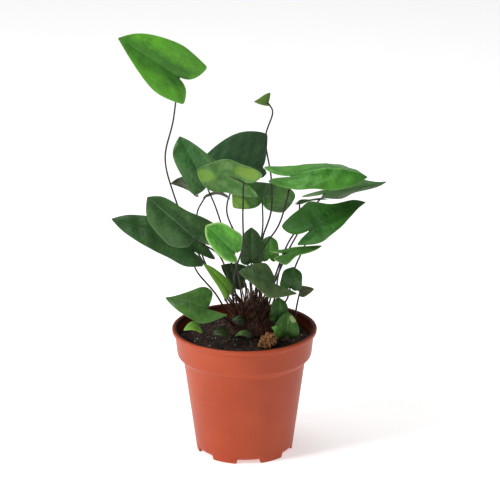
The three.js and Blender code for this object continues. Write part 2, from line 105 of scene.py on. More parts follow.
class Finish:
    """A material with one Principled surface, and short ways to add nodes that feed it."""

    def __init__(self, name, **constants):
        self.material = bpy.data.materials.new(name)
        self.material.use_nodes = True
        self.tree = self.material.node_tree
        self.surface = self.tree.nodes["Principled BSDF"]
        for socket, value in constants.items():
            self.surface.inputs[socket.replace("_", " ")].default_value = value

    def node(self, kind, settings=None, inputs=None, output=0):
        made = self.tree.nodes.new(kind)
        for name, value in (settings or {}).items():
            setattr(made, name, value)
        for name, value in (inputs or {}).items():
            if isinstance(value, Value):
                value = value.socket
            if isinstance(value, bpy.types.NodeSocket):
                self.tree.links.new(value, made.inputs[name])
            else:
                made.inputs[name].default_value = value
        return Value(self, made.outputs[output])

    def place(self):
        return self.node("ShaderNodeTexCoord", output="Object")

    def stored(self, name):
        return self.node("ShaderNodeAttribute", {"attribute_name": name}, output="Fac")

    def noise(self, scale, where=None, detail=4.0, roughness=0.55):
        inputs = {"Vector": where or self.place(), "Scale": scale, "Detail": detail, "Roughness": roughness}
        return self.node("ShaderNodeTexNoise", {}, inputs, output="Fac")

    def cells(self, scale, where):
        inputs = {"Vector": where, "Scale": scale}
        return self.node("ShaderNodeTexVoronoi", {"feature": "DISTANCE_TO_EDGE"}, inputs, output="Distance")

    def mixed(self, factor, first, second, blend="MIX"):
        made = self.tree.nodes.new("ShaderNodeMix")
        made.data_type = "RGBA"
        made.blend_type = blend
        for index, value in ((0, factor), (6, first), (7, second)):
            value = value.socket if isinstance(value, Value) else value
            if isinstance(value, bpy.types.NodeSocket):
                self.tree.links.new(value, made.inputs[index])
            else:
                made.inputs[index].default_value = value
        return Value(self, made.outputs[2])

    def feed(self, **links):
        for socket, value in links.items():
            self.tree.links.new(value.socket, self.surface.inputs[socket.replace("_", " ")])

    def bump(self, height, distance, strength):
        inputs = {"Height": height, "Distance": distance, "Strength": strength}
        self.feed(Normal=self.node("ShaderNodeBump", {}, inputs))


def mesh_piece(name, points, faces):
    data = bpy.data.meshes.new(name)
    data.from_pydata([tuple(p) for p in points], [], [tuple(f) for f in faces])
    data.update()
    piece = bpy.data.objects.new(name, data)
    bpy.context.scene.collection.objects.link(piece)
    data.polygons.foreach_set("use_smooth", [True] * len(data.polygons))
    return piece


def store(piece, name, values):
    """Keeps one number for each point of a piece, for its material to read."""
    made = piece.data.attributes.new(name, "FLOAT", "POINT")
    made.data.foreach_set("value", np.asarray(values, dtype=np.float32).ravel())


def rounded(corners, steps=4):
    """The path through [radius, height, rounding] corners, each rounding a small curve."""
    path = []
    for n, (radius, height, size) in enumerate(corners):
        here = np.array([radius, height])
        if size == 0:
            path.append(here)
            continue
        before = np.array(corners[n - 1][:2]) - here
        after = np.array(corners[(n + 1) % len(corners)][:2]) - here
        start = here + before / np.linalg.norm(before) * size
        end = here + after / np.linalg.norm(after) * size
        for step in range(steps + 1):
            t = step / steps
            path.append((1 - t) ** 2 * start + 2 * t * (1 - t) * here + t * t * end)
    return path


WALL = 1.3                      # all pot sizes in millimetres
POT_SEGMENTS = 216
NOTCHES = 6
NOTCH_START, NOTCH_SPREAD, NOTCH_HEIGHT = 5.0, 28.0, 3.4
DRAIN_CIRCLE, DRAIN_RADIUS = 29.0, 2.6

_, pot_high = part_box("nursery_pot")
rim = pot_high[0] / MM
pot_height = pot_high[2] / MM
FOOT, WALL_TOP, COLLAR_LOW, COLLAR_TOP = 35.0, 44.2, 48.6, 50.3
pot_profile = [                 # radius, height and how much the corner is rounded
    (0, 0, 0), (25, 0, 0.3), (25.8, 3.6, 0.3), (33.2, 3.6, 0.3), (33.2, 0, 0.25),
    (FOOT, 0, 0.4), (FOOT + 1.0, 7.5, 2.0), (WALL_TOP, 69, 1.2), (COLLAR_LOW, 73, 1.6),
    (COLLAR_TOP, pot_height - 4.0, 0.5), (rim - 0.35, pot_height - 3.1, 0.5),
    (rim, pot_height, 1.2), (COLLAR_TOP - WALL + 0.4, pot_height, 0.7),
    (COLLAR_TOP - WALL, pot_height - 5, 1.0), (COLLAR_LOW - WALL, 73.5, 1.6),
    (WALL_TOP - WALL, 69.5, 1.2), (FOOT - WALL + 0.6, 4.9, 1.0), (24.6, 4.9, 0.3),
    (23.8, WALL, 0.3), (0, WALL, 0),
]


def notch_share(angle):
    """1 in the middle of a foot notch and 0 between notches, with steep sides."""
    step = 360 / NOTCHES
    off = (math.degrees(angle) + 90 - NOTCH_START + step / 2) % step - step / 2
    edge = (NOTCH_SPREAD / 2 - abs(off)) / 1.6
    return min(1.0, max(0.0, edge + 0.5))


def build_pot():
    path = rounded(pot_profile)
    points = [(0, 0, path[0][1] * MM), (0, 0, path[-1][1] * MM)]
    ring = path[1:-1]
    for n in range(POT_SEGMENTS):
        angle = 2 * math.pi * n / POT_SEGMENTS
        lift = NOTCH_HEIGHT * notch_share(angle)
        for radius, height in ring:
            if radius > FOOT - 2 * WALL and height < NOTCH_HEIGHT:
                height = max(height, lift)
            points.append((radius * math.cos(angle) * MM, radius * math.sin(angle) * MM, height * MM))
    faces = []
    count = len(ring)
    at = lambda n, k: 2 + (n % POT_SEGMENTS) * count + k
    for n in range(POT_SEGMENTS):
        faces.append((0, at(n + 1, 0), at(n, 0)))
        faces.append((1, at(n, count - 1), at(n + 1, count - 1)))
        for k in range(count - 1):
            faces.append((at(n, k), at(n + 1, k), at(n + 1, k + 1), at(n, k + 1)))
    pot = mesh_piece("nursery_pot_moulded", points, faces)
    cutters = bmesh.new()
    for n in range(NOTCHES):
        angle = math.radians(NOTCH_START + (n + 0.5) * 360 / NOTCHES - 90)
        made = bmesh.ops.create_cone(cutters, cap_ends=True, segments=32, depth=6 * MM,
                                     radius1=DRAIN_RADIUS * MM, radius2=DRAIN_RADIUS * MM)
        centre = Vector((math.cos(angle), math.sin(angle), 0)) * DRAIN_CIRCLE * MM
        bmesh.ops.translate(cutters, verts=made["verts"], vec=centre + Vector((0, 0, 4 * MM)))
    data = bpy.data.meshes.new("drain_cutters")
    cutters.to_mesh(data)
    drills = bpy.data.objects.new("drain_cutters", data)
    bpy.context.scene.collection.objects.link(drills)
    cut = pot.modifiers.new("drain holes", "BOOLEAN")
    cut.object = drills
    cut.operation = "DIFFERENCE"
    applied(pot)
    bpy.data.objects.remove(drills)
    return pot


def applied(piece):
    """Turns a piece's modifiers into its plain mesh."""
    shaped = piece.evaluated_get(bpy.context.evaluated_depsgraph_get())
    data = bpy.data.meshes.new_from_object(shaped)
    piece.modifiers.clear()
    piece.data = data
    return piece


def pot_finish():
    """Satin moulded plastic: faint flow clouds, fine grain, soil stains and painted shade inside, pale
    scuff marks laid on thicker along the lip as a painted highlight.
    """
    finish = Finish("terracotta plastic", Roughness=0.42, IOR=1.49, Specular_IOR_Level=0.32)
    where = finish.place()
    x, y, height = (finish.node("ShaderNodeSeparateXYZ", {}, {0: where}, output=axis) for axis in "XYZ")
    radius = (x * x + y * y) ** 0.5
    collar, lip_top = height.between(0.070, 0.073), height.between(0.0912, 0.0925)
    wall = height * 0.133 + 0.0342 + collar * 0.0035 + lip_top * 0.0014
    inside = (wall - radius).between(0.0, 0.0006) * height.between(0.006, 0.008)
    clouds = finish.noise(22.0, detail=3.0)
    grain = finish.noise(900.0, detail=2.0)
    colour = finish.mixed(clouds.between(0.3, 0.7), rgb(168, 64, 29), rgb(180, 74, 37))
    scuffs_and_lip_highlight = finish.noise(160.0, detail=6.0, roughness=0.7).between(0.62, 0.72)
    # Pale scuff marks all over, laid on thicker along the lip as a painted highlight.
    lip = height.between(0.0885, 0.0925)
    colour = finish.mixed(scuffs_and_lip_highlight * (0.12 + lip * 0.25), colour, rgb(222, 150, 122))
    # Painted shade: the whole inside wall is darkened to a deep maroon.
    colour = finish.mixed(inside * 0.95, colour, rgb(64, 24, 12))
    stain = finish.noise(70.0, detail=5.0) * 0.006 + height
    colour = finish.mixed(inside * (1 - stain.between(0.086, 0.091)) * 0.8, colour, rgb(48, 28, 18))
    finish.feed(Base_Color=colour)
    finish.feed(Roughness=0.40 + clouds * 0.08 + scuffs_and_lip_highlight * 0.12)
    finish.bump(grain * 0.4 + clouds * 0.6, 0.00006, 0.5)
    return finish.material


pot = build_pot()
pot.data.materials.append(pot_finish())
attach(pot, "root")
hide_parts("nursery_pot")


# ---- Potting mix -------------------------------------------------------------------------------
# Damp peat and composted bark, filled loosely to about a centimetre under the rim. Crumbs, bark
# chips and a few white perlite grains lie on top.

def merged(node):
    """A CAD node's points in metres and its triangles, with its loose triangles joined up."""
    joined = bmesh.new()
    joined.from_mesh(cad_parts[node].data)
    bmesh.ops.remove_doubles(joined, verts=joined.verts, dist=0.02 * MM)
    bmesh.ops.triangulate(joined, faces=joined.faces)
    joined.verts.ensure_lookup_table()
    points = np.array([v.co[:] for v in joined.verts])
    triangles = np.array([[v.index for v in f.verts] for f in joined.faces])
    joined.free()
    return points, triangles


def top_of(node):
    """A function that gives the height of a CAD node's top at a place on it."""
    points, triangles = merged(node)
    tree = BVHTree.FromPolygons(points.tolist(), triangles.tolist())

    def height(x, y):
        return tree.ray_cast(Vector((x, y, 1.0)), Vector((0, 0, -1)))[0].z

    return height


def rough(x, y, z, seed=0.0):
    """A repeatable roughness between about -1 and 1 from a few crossing waves."""
    broad = math.sin(x * 1.7 + seed) * math.cos(y * 2.1 - seed)
    middling = 0.6 * math.sin(x * 4.3 - y * 3.1 + z + seed * 3)
    fine = 0.4 * math.cos(x * 9.1 + y * 7.7 + seed)
    return (broad + middling + fine) / 2


SOIL_RINGS, SOIL_SECTORS = 56, 150
SOIL_DEPTH = 16 * MM            # of the part that is modelled: what can be seen and a little below it
_, soil_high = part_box("soil")
soil_height = top_of("soil")


def build_soil():
    reach = soil_high[0] - 0.6 * MM
    points = [(0, 0, soil_height(0.0001, 0.0001))]
    for ring in range(1, SOIL_RINGS + 1):
        radius = reach * ring / SOIL_RINGS
        for sector in range(SOIL_SECTORS):
            angle = 2 * math.pi * sector / SOIL_SECTORS
            x, y = radius * math.cos(angle), radius * math.sin(angle)
            top = soil_height(x * 0.97, y * 0.97)
            lumps = 0.55 * rough(x / MM * 0.35, y / MM * 0.35, 0) + 0.3 * rough(x / MM, y / MM, 0, 2.0)
            points.append((x, y, top + lumps * MM))
    bottom_ring = len(points)
    for sector in range(SOIL_SECTORS):
        angle = 2 * math.pi * sector / SOIL_SECTORS
        x, y = 0.93 * reach * math.cos(angle), 0.93 * reach * math.sin(angle)
        points.append((x, y, soil_high[2] - SOIL_DEPTH))
    points.append((0, 0, soil_high[2] - SOIL_DEPTH))
    at = lambda ring, sector: 1 + (ring - 1) * SOIL_SECTORS + sector % SOIL_SECTORS
    faces = [(0, at(1, s), at(1, s + 1)) for s in range(SOIL_SECTORS)]
    for ring in range(1, SOIL_RINGS + 1):
        for s in range(SOIL_SECTORS):
            faces.append((at(ring, s), at(ring + 1, s), at(ring + 1, s + 1), at(ring, s + 1)))
    last = len(points) - 1
    for s in range(SOIL_SECTORS):
        faces.append((bottom_ring + (s + 1) % SOIL_SECTORS, bottom_ring + s, last))
    return mesh_piece("potting_mix", points, faces)


def soil_finish(name, dark, brown):
    """Crumbly brown in two tones with tan specks, glossier where it is damp."""
    finish = Finish(name, Roughness=0.85)
    patches = finish.noise(140.0, detail=6.0, roughness=0.65)
    specks = finish.noise(1300.0, detail=2.0)
    colour = finish.mixed(patches.between(0.38, 0.66), rgb(*dark), rgb(*brown))
    colour = finish.mixed(specks.between(0.66, 0.74) * 0.5, colour, rgb(128, 100, 74))
    finish.feed(Base_Color=colour, Roughness=0.95 - patches * 0.32)
    finish.bump(specks + patches * 2.0, 0.0005, 0.8)
    return finish.material


def lump(name, squash, jag, seed):
    """One small closed crumb of 20 faces, flattened and dented."""
    crumb = bmesh.new()
    bmesh.ops.create_icosphere(crumb, subdivisions=1, radius=0.5)
    source = random.Random(seed)
    for vert in crumb.verts:
        vert.co *= 1 + source.uniform(-jag, jag)
        vert.co.z *= squash[2]
        vert.co.y *= squash[1]
        vert.co.x *= squash[0]
    data = bpy.data.meshes.new(name)
    crumb.to_mesh(data)
    crumb.free()
    return bpy.data.objects.new(name, data)


def scattered(name, surface, shape, material, number, smallest, largest, seed, tilt=3.14):
    """Copies of a shape over the upward faces of a surface, as one new piece."""
    tree = bpy.data.node_groups.new(name, "GeometryNodeTree")
    face = tree.interface
    face.new_socket("Geometry", in_out="INPUT", socket_type="NodeSocketGeometry")
    sizes = {"Density": number, "Smallest": smallest * MM, "Largest": largest * MM, "Tilt": tilt}
    ids = {label: face.new_socket(label, in_out="INPUT", socket_type="NodeSocketFloat").identifier
           for label in sizes}
    face.new_socket("Geometry", in_out="OUTPUT", socket_type="NodeSocketGeometry")
    nodes, link = tree.nodes, tree.links.new
    given, given_out = nodes.new("NodeGroupInput"), nodes.new("NodeGroupOutput")

    def add(kind, settings=None, inputs=None):
        made = nodes.new(kind)
        for key, value in (settings or {}).items():
            setattr(made, key, value)
        for key, value in (inputs or {}).items():
            if isinstance(value, bpy.types.NodeSocket):
                link(value, made.inputs[key])
            else:
                made.inputs[key].default_value = value
        return made

    normal = add("GeometryNodeInputNormal")
    upward = add("ShaderNodeSeparateXYZ", {}, {0: normal.outputs[0]})
    chosen = add("FunctionNodeCompare", {"operation": "GREATER_THAN"}, {0: upward.outputs["Z"], 1: 0.35})
    spots = add("GeometryNodeDistributePointsOnFaces", {}, {
        "Mesh": given.outputs["Geometry"], "Selection": chosen.outputs[0],
        "Density": given.outputs["Density"], "Seed": seed})
    size = add("FunctionNodeRandomValue", {"data_type": "FLOAT"}, {
        2: given.outputs["Smallest"], 3: given.outputs["Largest"], "Seed": seed + 1})
    turn = add("FunctionNodeRandomValue", {"data_type": "FLOAT_VECTOR"}, {"Seed": seed + 2})
    spread = add("ShaderNodeVectorMath", {"operation": "MULTIPLY_ADD"}, {
        0: turn.outputs[0], 1: (2, 2, 0), 2: (-1, -1, 0)})
    scaled = add("ShaderNodeVectorMath", {"operation": "SCALE"}, {
        0: spread.outputs[0], "Scale": given.outputs["Tilt"]})
    spin = add("ShaderNodeVectorMath", {"operation": "MULTIPLY_ADD"}, {
        0: turn.outputs[0], 1: (0, 0, 6.28), 2: scaled.outputs[0]})
    model = add("GeometryNodeObjectInfo", {}, {"Object": shape})
    placed = add("GeometryNodeInstanceOnPoints", {}, {
        "Points": spots.outputs["Points"], "Instance": model.outputs["Geometry"],
        "Rotation": spin.outputs[0], "Scale": size.outputs[1]})
    real = add("GeometryNodeRealizeInstances", {}, {0: placed.outputs[0]})
    coloured = add("GeometryNodeSetMaterial", {}, {"Geometry": real.outputs[0], "Material": material})
    link(coloured.outputs[0], given_out.inputs[0])

    piece = bpy.data.objects.new(name, surface.data.copy())
    bpy.context.scene.collection.objects.link(piece)
    growth = piece.modifiers.new(name, "NODES")
    growth.node_group = tree
    for label, value in sizes.items():
        growth[ids[label]] = float(value)
    applied(piece)
    bpy.data.objects.remove(shape)
    return piece


soil = build_soil()
soil.data.materials.append(soil_finish("damp peat", (22, 14, 9), (58, 38, 25)))
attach(soil, "root")
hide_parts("soil")

toppings = [
    # name, shape as length, width, height, jag, colours, per square metre, smallest, largest, seed
    ("soil_crumbs", (1, 0.9, 0.7), 0.30, ((20, 12, 8), (62, 40, 27)), 520000, 0.7, 2.4, 3),
    ("bark_chips", (1.6, 0.7, 0.35), 0.25, ((44, 26, 16), (96, 62, 38)), 60000, 1.2, 3.2, 11),
    ("peat_threads", (3.2, 0.22, 0.2), 0.2, ((60, 38, 22), (120, 84, 52)), 42000, 1.0, 2.2, 17),
    ("perlite_grains", (1, 0.9, 0.8), 0.22, ((176, 164, 142), (226, 220, 204)), 14000, 0.5, 1.3, 23),
]
for name, shape, jag, colours, number, smallest, largest, seed in toppings:
    crumb = lump(name + "_shape", shape, jag, seed)
    finish = soil_finish(name + " finish", *colours)
    tilt = 0.35 if shape[0] > 1 else 3.14
    topping = scattered(name, soil, crumb, finish, number, smallest, largest, seed, tilt)
    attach(topping, "root")


# ---- Crown -------------------------------------------------------------------------------------
# The short brown rhizome from which every frond rises. It is wrapped in hairy scales and roots,
# and bristles with the broken stubs of old stalks; a dry, crumpled frond lies against its front.

def spline_weights(count, steps):
    """Weights that turn count control points into a smooth line with steps points an interval."""
    system, bends = np.eye(count), np.zeros((count, count))
    for n in range(1, count - 1):
        system[n, n - 1:n + 2] = (1, 4, 1)
        bends[n, n - 1:n + 2] = (6, -12, 6)
    bend = np.linalg.solve(system, bends)
    rows = []
    for position in np.linspace(0, count - 1, (count - 1) * steps + 1):
        n = min(int(position), count - 2)
        t = position - n
        row = np.zeros(count)
        row[n] += 1 - t
        row[n + 1] += t
        row += ((1 - t) ** 3 - (1 - t)) / 6 * bend[n] + (t ** 3 - t) / 6 * bend[n + 1]
        rows.append(row)
    return np.array(rows)


def tube(path, radii, sides):
    """Points and faces of one closed round tube along a path, kept free of twist."""
    path = np.asarray(path)
    ahead = np.gradient(path, axis=0)
    ahead /= np.linalg.norm(ahead, axis=1)[:, None]
    side = np.cross(ahead[0], (0.3, 0.9, 0.1))
    points = []
    for here, along, radius in zip(path, ahead, radii):
        side = side - along * np.dot(side, along)
        side /= np.linalg.norm(side)
        other = np.cross(along, side)
        for n in range(sides):
            angle = 2 * math.pi * n / sides
            points.append(here + radius * (math.cos(angle) * side + math.sin(angle) * other))
    rings = len(path)
    faces = [tuple(range(sides))[::-1]]
    for ring in range(rings - 1):
        for n in range(sides):
            a, b = ring * sides + n, ring * sides + (n + 1) % sides
            faces.append((a, b, b + sides, a + sides))
    faces.append(tuple(range((rings - 1) * sides, rings * sides)))
    return points, faces


def gathered(shapes):
    """Several lists of points and faces as one."""
    points, faces = [], []
    for more_points, more_faces in shapes:
        start = len(points)
        points.extend(more_points)
        faces.extend(tuple(start + index for index in face) for face in more_faces)
    return points, faces


crown_low, crown_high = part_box("crown")
crown_middle = (Vector(crown_low) + Vector(crown_high)) / 2


def build_crown():
    points, triangles = merged("crown")
    lumpy = mesh_piece("crown_heart", points, triangles)
    finer = lumpy.modifiers.new("finer", "SUBSURF")
    finer.subdivision_type = "SIMPLE"
    finer.levels = finer.render_levels = 3
    applied(lumpy)
    middle = np.array(crown_middle)
    for vert in lumpy.data.vertices:
        x, y, z = (vert.co[k] / MM for k in range(3))
        away = vert.co - crown_middle
        away.normalize()
        swell = 0.9 * rough(x * 0.5, y * 0.5, z * 0.4) + 0.45 * rough(x * 1.6, y * 1.5, z, 4.0) - 0.5
        vert.co += away * swell * MM
    return lumpy


def fibre_finish(name, dark, pale, reddish=(92, 44, 30)):
    """Streaky matt fibre between a dark and a pale brown, with reddish patches."""
    finish = Finish(name, Roughness=0.7)
    streaks = finish.noise(260.0, detail=5.0, roughness=0.7)
    patches = finish.noise(60.0, detail=2.0)
    colour = finish.mixed(streaks.between(0.35, 0.68), rgb(*dark), rgb(*pale))
    colour = finish.mixed(patches.between(0.52, 0.66) * 0.6, colour, rgb(*reddish))
    finish.feed(Base_Color=colour, Roughness=0.55 + streaks * 0.35)
    finish.bump(streaks, 0.0004, 0.8)
    return finish.material


def build_stubs(number, seed):
    """Broken ends of old stalks, thin and thick, that lean and bend out of the crown."""
    source = random.Random(seed)
    shapes = []
    for _ in range(number):
        around = source.uniform(0, 2 * math.pi)
        spread = source.uniform(0.1, 1.0)
        reach = (Vector(crown_high) - Vector(crown_low)) * 0.36 * spread
        base = crown_middle + Vector((reach.x * math.cos(around), reach.y * math.sin(around), 0))
        lean = source.uniform(0.1, 1.2) * spread
        length = source.uniform(6, 36 - 16 * spread) * MM
        heading = Vector((math.cos(around) * lean, math.sin(around) * lean, 1)).normalized()
        bend = Vector([source.uniform(-1, 1) for _ in range(3)]) * length * 0.34
        path = []
        for step in range(7):
            t = step / 6
            path.append(base + heading * length * t + bend * t * t)
        thick = source.choice((0.16, 0.24, 0.34, 0.5, 0.8)) * MM
        radii = [thick * (1.15 - 0.35 * step / 6 + source.uniform(-0.1, 0.1)) for step in range(7)]
        shapes.append(tube(path, radii, 6))
    return mesh_piece("crown_stubs", *gathered(shapes))


def fibre_shape(name, length, thickness, bend):
    """One bent strand that thins to its end, standing on the origin."""
    path = [(bend * t * t, bend * 0.5 * math.sin(3 * t), length * t) for t in (0, 0.3, 0.6, 0.85, 1)]
    radii = [thickness, thickness * 0.9, thickness * 0.75, thickness * 0.5, thickness * 0.2]
    return mesh_piece(name, *tube(path, radii, 4))


def build_clump():
    """The dry frond: a few crumpled tan lumps pressed together on the soil."""
    source = random.Random(8)
    shapes = []
    for dx, dy, dz, size in CLUMP_LUMPS:
        ball = bmesh.new()
        bmesh.ops.create_icosphere(ball, subdivisions=4, radius=size * MM)
        turn = source.uniform(0, 6)
        centre = CLUMP_PLACE + Vector((dx, dy, dz)) * MM
        points = []
        for vert in ball.verts:
            x, y, z = (vert.co[k] / MM for k in range(3))
            folds = abs(rough(x * 0.6 + turn, y * 0.7, z * 0.8, turn))
            creases = abs(rough(x * 1.5, y * 1.6, z, turn))
            vert.co *= 1.15 - 0.75 * (folds + 0.6 * creases)
            vert.co.z *= 0.7
            points.append(vert.co + centre)
        shapes.append((points, [[v.index for v in f.verts] for f in ball.faces]))
        ball.free()
    return mesh_piece("dry_clump", *gathered(shapes))


CLUMP_PLACE = Vector((17 * MM, -20 * MM, soil_high[2] - 1.0 * MM))
CLUMP_LUMPS = [                 # each lump's place beside the clump's and its radius
    (0, 0, 1.5, 4.0), (4, 2, 3.2, 3.6), (-4, -3, 0.8, 3.2), (1, 4, 4.2, 3.2), (-1, -6, 0.4, 2.6),
    (3, -3, 1.6, 2.8), (-3, 1, 3.0, 2.4), (6, 5, 3.6, 2.2),
]

crown_heart = build_crown()
crown_heart.data.materials.append(fibre_finish("rhizome scales", (26, 15, 9), (84, 54, 34)))
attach(crown_heart, "root")
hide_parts("crown")

crown_stubs = build_stubs(95, 5)
stub_finish = fibre_finish("old stalk stubs", (34, 19, 12), (104, 66, 42), (112, 52, 34))
crown_stubs.data.materials.append(stub_finish)
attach(crown_stubs, "root")

hair_finish = fibre_finish("crown hairs", (58, 33, 19), (150, 102, 66), (118, 62, 40))
STRAND_RADIUS = 0.11            # in the same units as the lengths and bends below
strands = [
    # name, length, bend, number on a square metre, seed
    ("crown_hairs", 7, 2.0, 900000, 31),
    ("crown_roots", 13, 5.0, 90000, 37),
]
for name, length, bend, density, seed in strands:
    strand = fibre_shape(name + "_shape", length, STRAND_RADIUS, bend)
    hairs = scattered(name, crown_heart, strand, hair_finish, density, 0.5, 1.3, seed, tilt=1.5)
    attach(hairs, "root")

dry_clump = build_clump()
dry_clump.data.materials.append(fibre_finish("dry frond", (142, 98, 58), (206, 164, 108), (176, 118, 72)))
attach(dry_clump, "root")

flake = lump("dry_flakes_shape", (1.5, 0.9, 0.14), 0.35, 41)
flake_finish = fibre_finish("dry flakes", (128, 86, 50), (214, 174, 118), (184, 122, 74))
dry_flakes = scattered("dry_flakes", dry_clump, flake, flake_finish, 1500000, 0.9, 2.6, 43)
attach(dry_flakes, "root")


# ---- Blades ------------------------------------------------------------------------------------
# Leathery heart and arrow shaped blades, about a third of a millimetre thick: a grooved midrib,
# faint slanting veins, rounded lobes behind the stalk and an edge that thins and turns a little.

BLADE_WALL = 0.5                # the CAD blades' thickness, in millimetres
WALL_MATCH = 0.003             # how near to that an edge from one sheet to the other is
TIP_STEP = 0.36
ROW_STEPS, COLUMN_STEPS = 9, 8


def sheets_of(node):
    """A CAD blade's two sheets, each a dictionary of directed edges, and the middle of its tip."""
    points, triangles = merged(node)
    points = points / MM
    edges = np.stack([triangles, np.roll(triangles, -1, axis=1)], axis=2)
    lengths = np.linalg.norm(points[edges[..., 0]] - points[edges[..., 1]], axis=2)
    tip_points = np.unique(edges[lengths < TIP_STEP])
    wall = (abs(lengths - BLADE_WALL) < WALL_MATCH).any(axis=1)
    sheet = ~wall & ~np.isin(triangles, tip_points).any(axis=1)
    third = {}
    for a, b, c in triangles[sheet]:
        third[a, b], third[b, c], third[c, a] = c, a, b
    sheets = []
    while third:
        first = next(iter(third))
        found, waiting = {}, [first]
        while waiting:
            a, b = waiting.pop()
            if (a, b) not in third:
                continue
            c = third.pop((a, b))
            found[a, b] = c
            waiting += [(b, c), (c, a), (b, a)]
        sheets.append(found)
    return points, sheets, points[tip_points].mean(axis=0)


def grid_of(points, third, tip):
    """A sheet's points in rows from the stalk to the tip, left to right as seen from outside."""
    follow = {a: b for a, b in ((b, a) for a, b in third if (b, a) not in third)}
    start = next(iter(follow))
    loop = [start]
    while follow[loop[-1]] != start:
        loop.append(follow[loop[-1]])
    loop = loop[::-1]
    uses = {}
    for a, _ in third:
        uses[a] = uses.get(a, 0) + 1
    corners = [n for n, point in enumerate(loop) if uses[point] < 3]
    sides = []
    for n, corner in enumerate(corners):
        last = corners[(n + 1) % 4]
        around = loop[corner:] + loop[:last + 1] if last <= corner else loop[corner:last + 1]
        sides.append(around)
    far = [np.linalg.norm(points[side[0]] - tip) + np.linalg.norm(points[side[-1]] - tip) for side in sides]
    tip_side = int(np.argmin(far))
    base = sides[(tip_side + 2) % 4]
    left = sides[(tip_side + 1) % 4][::-1]
    upper = uses[base[0]] == 1
    rows = [base]
    for start in left[1:]:
        row, above = rows[-1], [start]
        for n in range(len(row) - 1):
            corner = third[row[n], row[n + 1]]
            if corner == above[-1]:
                corner = third[corner, row[n + 1]]
            above.append(corner)
        rows.append(above)
    return points[np.array(rows)], upper


def blade_middle(node):
    """The middle surface of a CAD blade as rows of points in millimetres, its tip row included."""
    points, sheets, tip = sheets_of(node)
    grids = {}
    for third in sheets:
        grid, upper = grid_of(points, third, tip)
        grids[upper] = grid if upper else grid[:, ::-1]
    middle = (grids[True] + grids[False]) / 2
    width = middle[-1, -1] - middle[-1, 0]
    spread = np.linspace(-0.35, 0.35, middle.shape[1])[:, None] * width / np.linalg.norm(width)
    return np.concatenate([middle, (tip + spread)[None]])


def lengthened(middle):
    """A finer grid through the same points; the midrib stays a fold between the two halves."""
    half = middle.shape[1] // 2
    along = spline_weights(middle.shape[0], ROW_STEPS)
    across = spline_weights(half + 1, COLUMN_STEPS if half == 3 else COLUMN_STEPS + 2)
    rows = np.einsum("ri,ijk->rjk", along, middle)
    left = np.einsum("cj,rjk->rck", across, rows[:, :half + 1])
    right = np.einsum("cj,rjk->rck", across, rows[:, half:])
    return np.concatenate([left, right[:, 1:]], axis=1)


def relaxed(grid, weight, rounds):
    """The grid eased towards its neighbours where weight is 1; the edge eases along itself."""
    grid = grid.copy()
    for _ in range(rounds):
        eased = grid.copy()
        eased[1:-1, 1:-1] = (grid[2:, 1:-1] + grid[:-2, 1:-1] + grid[1:-1, 2:] + grid[1:-1, :-2]) / 4
        for edge in (0, -1):
            eased[edge, 1:-1] = (grid[edge, 2:] + grid[edge, :-2]) / 2
            eased[1:-1, edge] = (grid[2:, edge] + grid[:-2, edge]) / 2
        for row in (0, -1):
            for column in (0, -1):
                inward_row, inward_column = (1 if row == 0 else -2), (1 if column == 0 else -2)
                eased[row, column] = (grid[inward_row, column] + grid[row, inward_column]) / 2
        grid += (eased - grid) * weight[..., None] * 0.6
    return grid


def nearest(points, line):
    """For each point of a grid, its distance to the nearest of a line's points."""
    flat = points.reshape(-1, 3)
    gaps = np.linalg.norm(flat[:, None] - line[None], axis=2)
    return gaps.min(axis=1).reshape(points.shape[:-1])


def normals_of(grid):
    forward = np.gradient(grid, axis=0)
    rightward = np.gradient(grid, axis=1)
    normal = np.cross(rightward, forward)
    return normal / np.maximum(np.linalg.norm(normal, axis=2), 1e-9)[..., None]


def outline_of(grid):
    return np.concatenate([grid[0], grid[1:, -1], grid[-1, -2::-1], grid[-2:0:-1, 0]])


def waves(place, seed, count=5, longest=16.0, shortest=7.0):
    """A smooth uneven swell over a blade, between about -1 and 1."""
    source = random.Random(seed)
    total = np.zeros(place.shape[:-1])
    for _ in range(count):
        size = source.uniform(shortest, longest)
        heading = np.array([source.gauss(0, 1) for _ in range(3)])
        heading /= np.linalg.norm(heading)
        total += np.sin(place @ heading * 2 * math.pi / size + source.uniform(0, 6.28))
    return total / math.sqrt(count)


